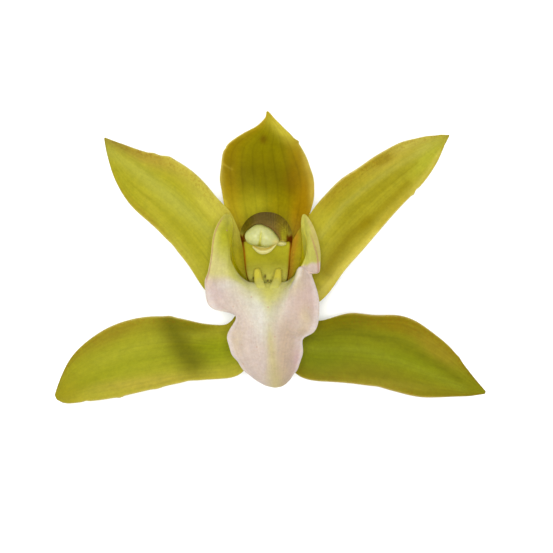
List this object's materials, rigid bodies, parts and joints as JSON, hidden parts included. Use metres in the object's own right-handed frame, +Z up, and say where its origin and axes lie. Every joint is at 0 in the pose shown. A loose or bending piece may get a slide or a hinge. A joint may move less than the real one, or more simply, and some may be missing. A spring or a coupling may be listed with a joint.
{
  "type": "cymbidium orchid bloom",
  "caption": "Cymbidium orchid bloom lying face up: pointed yellow-green sepals and petals round a thick arched column, a pale pink lip with a hanging lobe, and a short cut stalk.",
  "frame": {"origin": "centre of the bounding box's bottom face, on the table the bloom lies on", "axes": "+X to the bloom's right as seen from the front, +Y to its top, +Z up, the way the bloom faces"},
  "size_m": [0.1112, 0.0734, 0.0469],
  "materials": {
    "sepal_green": "soft satin",
    "petal_green": "soft satin",
    "lip_blush": "velvety",
    "column_olive": "satin",
    "cap_cream": "waxy",
    "pollen_yellow": "waxy",
    "stalk_green": "satin"
  },
  "bodies": {
    "root": {"dorsal_sepal": "sepal_green", "petal_left": "petal_green", "petal_right": "petal_green", "lateral_sepal_left": "sepal_green", "lateral_sepal_right": "sepal_green", "lip": "lip_blush", "column": "column_olive", "anther_cap": "cap_cream", "pollinarium": "pollen_yellow", "ovary_pedicel": "stalk_green"}
  },
  "joints": []
}
